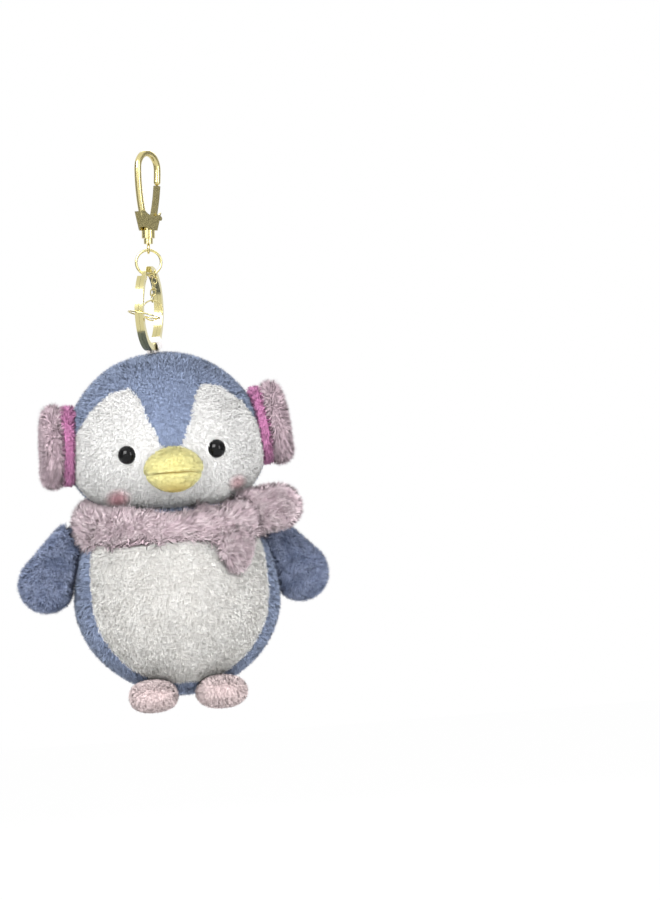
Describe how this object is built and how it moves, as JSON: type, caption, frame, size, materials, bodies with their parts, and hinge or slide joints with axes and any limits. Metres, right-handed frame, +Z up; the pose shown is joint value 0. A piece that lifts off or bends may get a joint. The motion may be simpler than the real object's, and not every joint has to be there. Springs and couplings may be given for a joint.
{
  "type": "plush penguin key chain",
  "caption": "Stuffed penguin toy with earmuffs and a wrapped scarf, hung by a ribbon loop from a split ring, a swivel and a spring-gate clasp",
  "frame": {"origin": "the seat inside the top of the clasp's eye, where the thing it hangs on lies", "axes": "+Z up, the penguin's face looks along -Y, +X to the right seen from the front"},
  "size_m": [0.1039, 0.073, 0.1869],
  "materials": {
    "band_fabric": "knitted",
    "beak_velboa": "smooth velboa",
    "belly_pile": "short dense pile",
    "blue_pile": "short dense pile",
    "chain_metal": "pale polished gold plate",
    "clasp_metal": "pale polished gold plate",
    "disc_fabric": "knitted",
    "eye_gloss": "high gloss",
    "flipper_pile": "short dense pile",
    "foot_velboa": "smooth velboa",
    "pink_pile": "long soft pile",
    "ribbon": "woven ribbon",
    "ring_metal": "pale polished gold plate",
    "scarf_pile": "long soft pile",
    "spring_steel": "plain",
    "stuffing": "loose polyester filling",
    "washer_plastic": "plain",
    "white_pile": "short dense pile"
  },
  "bodies": {
    "clasp": {"clasp_body": "clasp_metal", "gate_pin": "clasp_metal", "gate_spring": "spring_steel"},
    "gate": {"clasp_gate": "clasp_metal"},
    "swivel": {"swivel_post": "clasp_metal"},
    "small_ring": {"swivel_ring": "ring_metal"},
    "key_ring": {"split_ring": "ring_metal"},
    "chain": {"chain_end_ring": "chain_metal", "chain_link_1": "chain_metal", "chain_link_2": "chain_metal", "chain_link_3": "chain_metal", "chain_link_4": "chain_metal", "chain_link_5": "chain_metal", "side_jump_ring": "chain_metal"},
    "flipper_l": {"flipper_left": "flipper_pile", "flipper_stuffing_left": "stuffing"},
    "flipper_r": {"flipper_right": "flipper_pile", "flipper_stuffing_right": "stuffing"},
    "scarf_side": {"scarf_end_side": "scarf_pile"},
    "scarf_front": {"scarf_end_front": "scarf_pile"},
    "plush": {"beak_lower": "beak_velboa", "beak_stuffing": "stuffing", "beak_upper": "beak_velboa", "belly_panel": "belly_pile", "body_back_left": "blue_pile", "body_back_right": "blue_pile", "body_base": "blue_pile", "body_stuffing": "stuffing", "earmuff_band": "band_fabric", "earmuff_disc_left": "disc_fabric", "earmuff_disc_right": "disc_fabric", "earmuff_pad_left": "pink_pile", "earmuff_pad_right": "pink_pile", "eye_left": "eye_gloss", "eye_right": "eye_gloss", "eye_washer_left": "washer_plastic", "eye_washer_right": "washer_plastic", "face_left": "white_pile", "face_right": "white_pile", "foot_left": "foot_velboa", "foot_right": "foot_velboa", "foot_stuffing_left": "stuffing", "foot_stuffing_right": "stuffing", "hanging_loop": "ribbon", "head_back_left": "blue_pile", "head_back_right": "blue_pile", "head_stuffing": "stuffing", "scarf_wrap": "scarf_pile"}
  },
  "joints": [
    {"name": "gate_hinge", "type": "hinge", "parent": "clasp", "child": "gate", "pos_m": [0.00077, 0.00248, -0.02043], "axis": [0.7644, -0.6428, -0.0494], "range_deg": [0, 28], "stiffness_Nm_per_rad": 0.01, "springref_deg": -17.19},
    {"name": "clasp_swivel", "type": "hinge", "parent": "clasp", "child": "swivel", "pos_m": [-0.00178, 0, -0.02752], "axis": [0.0645, 0, 0.9979], "continuous": true},
    {"name": "small_ring_swing", "type": "hinge", "parent": "swivel", "child": "small_ring", "pos_m": [-0.00199, 0, -0.03082], "axis": [0.9979, 0, -0.0645], "range_deg": [-25, 25]},
    {"name": "split_ring_swing", "type": "hinge", "parent": "small_ring", "child": "key_ring", "pos_m": [-0.00229, 0, -0.03541], "axis": [0, 1, 0], "range_deg": [-20, 20]},
    {"name": "chain_swing", "type": "hinge", "parent": "key_ring", "child": "chain", "pos_m": [-0.0025, 0, -0.03874], "axis": [-0.9501, 0.3057, 0.0614], "range_deg": [-2.5, 2.5]},
    {"name": "plush_swing", "type": "hinge", "parent": "key_ring", "child": "plush", "pos_m": [-0.00328, 0, -0.05072], "axis": [-0.9501, 0.3057, 0.0614], "range_deg": [-18, 18]},
    {"name": "flipper_left_flap", "type": "hinge", "parent": "plush", "child": "flipper_l", "pos_m": [-0.03185, 0.00523, -0.13089], "axis": [0, 1, 0], "range_deg": [-6, 14], "stiffness_Nm_per_rad": 0.02},
    {"name": "flipper_right_flap", "type": "hinge", "parent": "plush", "child": "flipper_r", "pos_m": [0.02992, 0.00523, -0.13089], "axis": [0, -1, 0], "range_deg": [-6, 14], "stiffness_Nm_per_rad": 0.02},
    {"name": "scarf_end_flap", "type": "hinge", "parent": "plush", "child": "scarf_side", "pos_m": [0.02504, -0.00957, -0.12049], "axis": [0, 0, 1], "range_deg": [-14, 14], "stiffness_Nm_per_rad": 0.01},
    {"name": "scarf_tail_lift", "type": "hinge", "parent": "plush", "child": "scarf_front", "pos_m": [0.01844, -0.0246, -0.12609], "axis": [-1, 0, 0], "range_deg": [0, 35], "stiffness_Nm_per_rad": 0.01}
  ]
}
